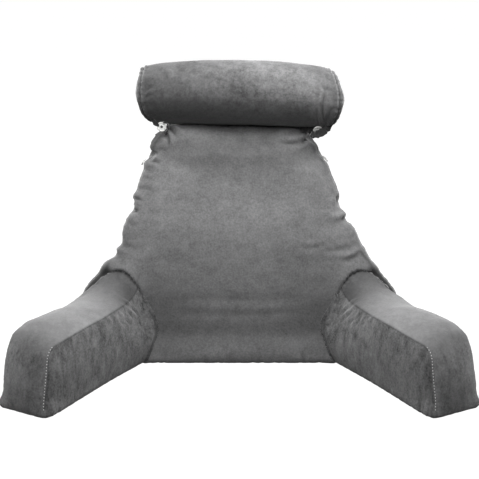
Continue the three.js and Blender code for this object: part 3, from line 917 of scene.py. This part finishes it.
def neck_roll():
    """The neck roll, with its sewn round ends."""
    around = ROLL_AROUND
    left, right = RINGS["x"][0], RINGS["x"][-1]
    body = left + (spaced(right - left, CELLS["roll"]) + 1) / 2 * (right - left)
    cap = np.array([0.12, 0.26, 0.4, 0.53, 0.65, 0.76, 0.85, 0.92, 0.965])
    swell = ROLL_CAP * np.sqrt(1 - cap**3)
    turn = np.arange(around) / around * 2 * np.pi
    rings = []
    for share, out in zip(cap, swell):
        rings.append((left, share * RINGS["radius"][0], out))
    for x in body:
        rings.append((x, float(read(RINGS, "x", "radius", x)), 0))
    for share, out in zip(cap[::-1], swell[::-1]):
        rings.append((right, share * RINGS["radius"][-1], out))
    points = [roll_points(np.full(around, x), np.full(around, r), turn, out) for x, r, out in rings]
    centre_left = points[0].mean(axis=0) - [0.4, 0, 0]
    centre_right = points[-1].mean(axis=0) + [0.4, 0, 0]
    points = np.concatenate(points + [[centre_left], [centre_right]])
    faces = ring_faces(len(rings), around)
    last = (len(rings) - 1) * around
    for i in range(around):
        j = (i + 1) % around
        faces.append([len(points) - 2, i, j])
        faces.append([len(points) - 1, last + j, last + i])
    piece = mesh_object("neck_roll_cover", points, faces)
    first, second = len(cap), len(cap) + len(body) - 1
    seams = {name: np.arange(k * around, (k + 1) * around) for name, k in (("left", first), ("right", second))}
    pins = np.zeros(len(points))
    for loop in seams.values():
        pins[loop] = 0.95
    x = points[:, 0]
    slack = ease(np.abs(x), 110, 180)
    simulate(piece, pins, slack, pressure=4, cap=6)
    subdivide(piece)
    fine = coordinates(piece.data)
    paths = {name: fine[np.append(loop, loop[0])] for name, loop in seams.items()}
    lumps(piece, 1.2, 75, 21)
    lumps(piece, 0.9, 26, 22, squeeze=(0.6, 1, 1))
    # Painted light and shade on the roll: darker below and lighter on top, changing along it, with painted shade on the
    # end caps' outer rings.
    points = coordinates(piece.data)
    axis_y, axis_z = roll_axis(points[:, 0])
    turn = np.degrees(np.arctan2(points[:, 2] - axis_z, axis_y - points[:, 1]))
    along = read(PILE_AND_PAINTED_SHADE["roll_along"], "x", "pile_and_painted_shade", points[:, 0] + 0.8 * (points[:, 2] - axis_z))
    pile_and_painted_shade = read(PILE_AND_PAINTED_SHADE["roll"], "degrees", "pile_and_painted_shade", turn)
    cap_shade = 1 - 0.5 * ease(np.abs(normals(piece.data)[:, 0]), 0.5, 0.85)
    pile_and_painted_shade = pile_and_painted_shade * (1 + (along - 1) * np.where(along > 1, ease(turn, -30, 0), 1)) * cap_shade
    from_axis = np.hypot(points[:, 2] - axis_z, points[:, 1] - axis_y)
    middle = ease(-from_axis, -56, -30) * ease(np.abs(normals(piece.data)[:, 0]), 0.5, 0.85)
    set_cloth_attribute(piece.data, pile_and_painted_shade + (0.95 - pile_and_painted_shade) * middle)
    fold(piece, ROLL_FOLDS)
    # Painted shade in the end seams, with a painted highlight beside each.
    for k, path in enumerate(paths.values()):
        sew(piece, path, 1.8, 1.5, 1.6, 0.5, PUCKERS["roll"], 23 + k, light=1.1)
    return piece


def stitches(name, lines, finish, pitch=5.2, length=2.0, radius=0.6, lift=0.5, first=0.4):
    """Thread along lines of points in millimetres, each stitch a small tube whose ends dip into the cloth."""
    sides = 6
    points = []
    faces = []
    for line, outward in lines:
        even = resampled(np.asarray(line, float), 0.5)
        along = arc_lengths(even)
        for start in np.arange(first, along[-1] - length, pitch):
            places = start + np.linspace(0, length, 5)
            spine = np.stack([np.interp(places, along, even[:, k]) for k in range(3)], axis=1)
            spine += np.outer(np.array([-0.5, 0.8, 1, 0.8, -0.5]) * lift, outward)
            ahead = spine[-1] - spine[0]
            across = np.cross(ahead, outward)
            across /= np.linalg.norm(across)
            upward = np.cross(across, ahead / np.linalg.norm(ahead))
            base = len(points)
            for spot in spine:
                for k in range(sides):
                    turn = 2 * math.pi * k / sides
                    points.append(spot + radius * (math.cos(turn) * across + math.sin(turn) * upward))
            for ring in range(len(spine) - 1):
                for k in range(sides):
                    a, b = base + ring * sides + k, base + ring * sides + (k + 1) % sides
                    faces.append([a, a + sides, b + sides, b])
            faces.append([base + k for k in range(sides)])
            faces.append([base + (len(spine) - 1) * sides + k for k in range(sides)][::-1])
    piece = mesh_object(name, points, faces)
    piece.data.materials.append(finish)
    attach(piece, "root")
    return piece


# The closed press studs' front halves: their centres in millimetres and their turns in degrees
STUDS = {
    "side": ["left", "right"],
    "centre": [(-150, FRONT_Y + 87, 452.5), (151, FRONT_Y + 80.5, 447.5)],
    "nod": [0, 32],
    "lean": [-14, 24],
}
# A front half's outline from its hole to its back, as radius and distance from the back face
STUD_OUTLINE = [
    (0, -2.2), (2.2, -2.2), (2.45, -2.3), (2.5, -2.8), (2.7, -3.1), (3.5, -3.1), (3.9, -2.75), (4.4, -2.45),
    (6.6, -2.45), (7.1, -2.75), (7.6, -3.0), (8.3, -3.0), (9.0, -2.7), (9.4, -2.1), (9.45, -0.9), (9.1, -0.2),
    (8.3, 0), (4, 0), (0, 0),
]


def closed_studs(plastic, hole, yarn):
    """The front halves of the closed press studs, sewn on with four bars of yarn."""
    around = 48
    turn = np.arange(around) / around * 2 * np.pi
    for side, centre, nod, lean in zip(*STUDS.values()):
        points = []
        faces = []
        for radius, level in STUD_OUTLINE:
            points += [(radius * math.cos(t), level, radius * math.sin(t)) for t in turn]
        for k in range(len(STUD_OUTLINE) - 1):
            for i in range(around):
                a, b = k * around + i, k * around + (i + 1) % around
                faces.append([a, b, b + around, a + around])
        turned = Matrix.Rotation(math.radians(nod), 3, "X") @ Matrix.Rotation(math.radians(lean), 3, "Y")
        placed = np.array([turned @ Vector(p) for p in points]) + centre
        piece = mesh_object("stud_front_" + side, placed, faces)
        mesh_edit = bmesh.new()
        mesh_edit.from_mesh(piece.data)
        bmesh.ops.remove_doubles(mesh_edit, verts=mesh_edit.verts, dist=0.00001)
        bmesh.ops.recalc_face_normals(mesh_edit, faces=mesh_edit.faces)
        mesh_edit.to_mesh(piece.data)
        mesh_edit.free()
        piece.data.materials.append(plastic)
        piece.data.materials.append(hole)
        axis = np.array(turned @ Vector((0, 1, 0)))
        # Faces inside the hole take the painted shade.
        for polygon in piece.data.polygons:
            offset = np.array(polygon.center) / MM - centre
            out = np.linalg.norm(offset - axis * offset.dot(axis))
            polygon.material_index = int(out < 2.55 and offset.dot(axis) < -0.2)
        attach(piece, "root")
        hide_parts("stud_socket_" + side)
        bars = []
        outward = np.array(turned @ Vector((0, -1, 0)))
        for k in range(4):
            t = math.radians(40 + 90 * k)
            bar = [(r * math.cos(t), y, r * math.sin(t)) for r, y in ((4.9, -2.5), (7.6, -3.1), (9.2, -2.6))]
            bars.append((np.array([turned @ Vector(p) for p in bar]) + centre, outward))
        stitches("stud_yarn_" + side, bars, yarn, 9, 4, 0.4, 0.2)


# The cloth tabs: the line along each one's middle, and half its width and thickness
TABS = {
    "roll_tab_left": ([(-171, 116, 472), (-166, 108, 463), (-160, 105, 457), (-155, 106, 455)], 3.4, 2),
    "back_tab_left": ([(-146, 104, 463), (-139, 102, 458), (-137, 103, 450), (-141, 106, 443), (-143, 118, 438)], 2, 2),
    "roll_tab_right": ([(180, 112, 468), (172, 100, 457), (162, 93, 446), (150, 92, 440), (135, 99, 438)], 7, 2.4),
    "back_tab_right": ([(170, 108, 455), (156, 107, 448), (143, 108, 445), (131, 116, 447), (119, 124, 450)], 8, 2.4),
}


def tab(name, finish):
    """A crumpled cloth tab."""
    line, wide, thick = TABS[name]
    line = np.array(line, float)
    table = {"at": arc_lengths(line), "x": line[:, 0], "y": line[:, 1], "z": line[:, 2]}
    places = np.arange(0, table["at"][-1], 1.1)
    spine = np.stack([read(table, "at", axis, places) for axis in "xyz"], axis=1)
    ahead = np.gradient(spine, axis=0)
    ahead /= np.linalg.norm(ahead, axis=1, keepdims=True)
    beside = np.cross(ahead, [0, -0.9, 0.4])
    beside /= np.linalg.norm(beside, axis=1, keepdims=True)
    facing = np.cross(beside, ahead)
    around = 28
    turn = np.arange(around) / around * 2 * np.pi
    ends = np.minimum(places, places[-1] - places)
    full = np.sqrt(np.clip(1 - (1 - ends / 4).clip(0) ** 2, 0.02, 1))
    points = []
    for k in range(len(places)):
        edge = np.sign(np.cos(turn)) * np.abs(np.cos(turn)) ** 0.7
        bar = np.outer(edge * wide * full[k], beside[k]) + np.outer(np.sin(turn) * thick * full[k], facing[k])
        points.append(spine[k] + bar)
    faces = ring_faces(len(places), around)
    last = (len(places) - 1) * around
    faces.append(list(range(around)))
    faces.append([last + i for i in range(around)][::-1])
    piece = mesh_object(name + "_cover", np.concatenate(points), faces)
    lumps(piece, 2.6, 6, 7)
    lumps(piece, 0.8, 2.5, 8)
    piece.data.materials.append(finish)
    # Painted shade: the tabs take the cushions' cloth at about a sixth of its brightness, where they lie under the
    # roll.
    set_cloth_attribute(piece.data, np.full(len(piece.data.vertices), 0.16))
    set_cloth_attribute(piece.data, np.ones(len(piece.data.vertices)), "mottle")
    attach(piece, "root")
    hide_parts(name)


def nodes_of(name):
    material = bpy.data.materials.new(name)
    material.use_nodes = True
    tree = material.node_tree
    shader = tree.nodes["Principled BSDF"]
    return material, tree, shader


def add_node(tree, kind, inputs=None, **settings):
    node = tree.nodes.new(kind)
    for key, value in settings.items():
        setattr(node, key, value)
    for key, value in (inputs or {}).items():
        node.inputs[key].default_value = value
    return node


def blended(tree, shader, scale, detail, dark, light):
    """Gives a shader a colour that noise blends between two, and returns the noise."""
    place = add_node(tree, "ShaderNodeTexCoord")
    cloud = add_node(tree, "ShaderNodeTexNoise", {"Scale": scale, "Detail": detail})
    tree.links.new(place.outputs["Object"], cloud.inputs["Vector"])
    colour = add_node(tree, "ShaderNodeMix", data_type="RGBA")
    colour.inputs["A"].default_value = (*dark, 1)
    colour.inputs["B"].default_value = (*light, 1)
    tree.links.new(cloud.outputs["Fac"], colour.inputs["Factor"])
    tree.links.new(colour.outputs["Result"], shader.inputs["Base Color"])
    return cloud


def plush(name, shade, mottle=1.0, streaks=0.1, grain=(0.3, 1, 1), fine=0.45):
    """Short-pile plush: soft mottling where the pile lies differently, faint streaks, and a fine pile, its colour
    scaled by the stored pile brightness with painted shade and painted light in it.
    """
    material, tree, shader = nodes_of(name)
    link = tree.links.new
    place = add_node(tree, "ShaderNodeTexCoord")
    stretch = add_node(tree, "ShaderNodeMapping", {"Scale": grain, "Rotation": (0.1, 0.12, 0)})
    link(place.outputs["Object"], stretch.inputs["Vector"])
    layers = [
        # the noise's scale per metre, its detail, its distortion, how much it changes the shade, its coordinates
        (16, 2, 0.5, 0.22 * mottle, place.outputs["Object"]),
        (45, 2, 0.4, 0.2 * mottle, place.outputs["Object"]),
        (120, 2, 0.2, 0.18 * mottle, place.outputs["Object"]),
        (55, 3, 0.6, streaks, stretch.outputs["Vector"]),
        (150, 3, 0.2, streaks * 0.7, stretch.outputs["Vector"]),
        (300, 2, 0, fine, place.outputs["Object"]),
    ]
    total = None
    for scale, detail, distortion, share, vector in layers:
        cloud = add_node(tree, "ShaderNodeTexNoise", {"Scale": scale, "Detail": detail, "Distortion": distortion})
        link(vector, cloud.inputs["Vector"])
        centred = add_node(tree, "ShaderNodeMath", {1: 0.5}, operation="SUBTRACT")
        link(cloud.outputs["Fac"], centred.inputs[0])
        summed = add_node(tree, "ShaderNodeMath", {1: share * 2, 2: 0}, operation="MULTIPLY_ADD")
        link(centred.outputs[0], summed.inputs[0])
        if total is not None:
            link(total.outputs[0], summed.inputs[2])
        total = summed
    uneven = add_node(tree, "ShaderNodeAttribute", attribute_name="mottle")
    varied = add_node(tree, "ShaderNodeMath", {2: 1}, operation="MULTIPLY_ADD")
    link(total.outputs[0], varied.inputs[0])
    link(uneven.outputs["Fac"], varied.inputs[1])
    # The stored pile brightness, with painted shade and painted light in it, scales the colour.
    pile_shade_node = add_node(tree, "ShaderNodeAttribute", attribute_name="pile_and_painted_shade")
    shaded = add_node(tree, "ShaderNodeMath", operation="MULTIPLY")
    link(varied.outputs[0], shaded.inputs[0])
    link(pile_shade_node.outputs["Fac"], shaded.inputs[1])
    tint = add_node(tree, "ShaderNodeVectorMath", {0: (shade, shade, shade * 1.01)}, operation="SCALE")
    link(shaded.outputs[0], tint.inputs["Scale"])
    link(tint.outputs[0], shader.inputs["Base Color"])
    normal = None
    for scale, detail, strength, depth in ((900, 3, 0.5, 0.0005), (260, 2, 0.35, 0.001)):
        pile = add_node(tree, "ShaderNodeTexNoise", {"Scale": scale, "Detail": detail})
        link(place.outputs["Object"], pile.inputs["Vector"])
        bump = add_node(tree, "ShaderNodeBump", {"Strength": strength, "Distance": depth})
        link(pile.outputs["Fac"], bump.inputs["Height"])
        if normal is not None:
            link(normal, bump.inputs["Normal"])
        normal = bump.outputs["Normal"]
    link(normal, shader.inputs["Normal"])
    finish = {"Roughness": 0.9, "Specular IOR Level": 0.15, "Sheen Weight": 0.4, "Sheen Roughness": 0.5}
    for key, value in finish.items():
        shader.inputs[key].default_value = value
    return material


def milky_plastic():
    """Milky translucent plastic with small scuffs."""
    material, tree, shader = nodes_of("milky_plastic")
    cloud = blended(tree, shader, 220, 3, (0.52, 0.52, 0.51), (0.78, 0.78, 0.76))
    shine = add_node(tree, "ShaderNodeMapRange", {"To Min": 0.25, "To Max": 0.5})
    tree.links.new(cloud.outputs["Fac"], shine.inputs["Value"])
    tree.links.new(shine.outputs["Result"], shader.inputs["Roughness"])
    shader.inputs["Subsurface Weight"].default_value = 0.25
    shader.inputs["Subsurface Radius"].default_value = (0.004, 0.004, 0.004)
    return material


def painted_hole_shade():
    """Painted shade for the inside of a stud's hole: near black, with a little dust."""
    material, tree, shader = nodes_of("stud_hole_painted_shade")
    blended(tree, shader, 900, 2, (0.012, 0.012, 0.012), (0.05, 0.05, 0.05))
    shader.inputs["Roughness"].default_value = 0.6
    return material


def thread(name, shade):
    """Spun thread."""
    material, tree, shader = nodes_of(name)
    blended(tree, shader, 1500, 2, (shade * 0.7, shade * 0.7, shade * 0.7), (shade, shade, shade))
    shader.inputs["Roughness"].default_value = 0.8
    return material


def stage_floor():
    """A pale floor that runs out of the picture. It lends the cushions no light of its own."""
    size = 60000
    corners = [(-size, -size, -0.5), (size, -size, -0.5), (size, size, -0.5), (-size, size, -0.5)]
    floor = mesh_object("floor", corners, [[0, 1, 2, 3]])
    material, _, shader = nodes_of("pale_floor")
    shader.inputs["Base Color"].default_value = (0.1, 0.1, 0.1, 1)
    shader.inputs["Roughness"].default_value = 1
    shader.inputs["Specular IOR Level"].default_value = 0
    shader.inputs["Emission Color"].default_value = (1, 1, 1, 1)
    shader.inputs["Emission Strength"].default_value = 1
    floor.data.materials.append(material)
    floor.visible_diffuse = False
    floor.visible_glossy = False


def camera():
    """The photograph's view of the back's foot."""
    tilt = VIEW["tilt"]
    data = bpy.data.cameras.new("camera")
    data.sensor_width = SENSOR
    data.lens = SENSOR * VIEW["focal"] / VIEW["picture"]
    data.clip_end = 50
    view = bpy.data.objects.new("camera", data)
    bpy.context.scene.collection.objects.link(view)
    foot = Vector((0, FRONT_Y, 0)) * MM
    look = Vector((0, math.cos(tilt), -math.sin(tilt)))
    up = Vector((0, math.sin(tilt), math.cos(tilt)))
    view.location = foot - look * VIEW["distance"] + up * VIEW["rise"]
    view.rotation_euler = (math.pi / 2 - tilt, 0, 0)
    bpy.context.scene.camera = view


def lighting():
    """Soft lights, and surroundings that are brighter above the horizon than below it."""
    for name, place, target, size, power in zip(*LIGHTS.values()):
        data = bpy.data.lights.new(name, "AREA")
        data.shape = "SQUARE"
        data.size = size
        data.energy = power
        lamp = bpy.data.objects.new(name, data)
        lamp.visible_camera = False
        bpy.context.scene.collection.objects.link(lamp)
        lamp.location = place
        lamp.rotation_euler = (Vector(target) - Vector(place)).to_track_quat("-Z", "Y").to_euler()
    world = bpy.data.worlds.new("surroundings")
    world.use_nodes = True
    tree = world.node_tree
    place = add_node(tree, "ShaderNodeTexCoord")
    split = add_node(tree, "ShaderNodeSeparateXYZ")
    levels = {"From Min": -0.1, "From Max": 0.1, "To Min": SURROUNDINGS["below"], "To Max": SURROUNDINGS["above"]}
    height = add_node(tree, "ShaderNodeMapRange", levels)
    tree.links.new(place.outputs["Generated"], split.inputs[0])
    tree.links.new(split.outputs["Z"], height.inputs["Value"])
    tree.links.new(height.outputs["Result"], tree.nodes["Background"].inputs["Strength"])
    tree.nodes["Background"].inputs["Color"].default_value = (1, 1, 1, 1)
    bpy.context.scene.world = world
    bpy.context.scene.view_settings.view_transform = "Standard"


camera()
lighting()
stage_floor()

grey_plush = plush("grey_plush", 0.1)
arm_plush = plush("arm_plush", 0.1, mottle=1.8, streaks=0.7, grain=(1, 1, 0.35), fine=0.7)
roll_plush = plush("roll_plush", 0.1, mottle=2.5, fine=0.5)
plastic = milky_plastic()

pale_thread = thread("pale_thread", 0.6)
grey_yarn = thread("grey_yarn", 0.16)

back = back_cushion()
arm_left, left_line = arm_cushion(-1, back)
arm_right, right_line = arm_cushion(1, back)
roll = neck_roll()

for piece, node, finish in (
    (back, "back_cushion", grey_plush),
    (arm_left, "arm_left", arm_plush),
    (arm_right, "arm_right", arm_plush),
    (roll, "neck_roll", roll_plush),
):
    piece.data.materials.append(finish)
    if piece in (back, roll):
        set_cloth_attribute(piece.data, np.ones(len(piece.data.vertices)), "mottle")
    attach(piece, "root")
    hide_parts(node)

stitches("arm_left_stitches", [left_line], pale_thread, first=14)
stitches("arm_right_stitches", [right_line], pale_thread, first=14)
closed_studs(plastic, painted_hole_shade(), grey_yarn)
for name in TABS:
    tab(name, grey_plush)
for name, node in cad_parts.items():
    if name.startswith("stud") and "socket" not in name:
        node.data.materials.clear()
        node.data.materials.append(plastic)
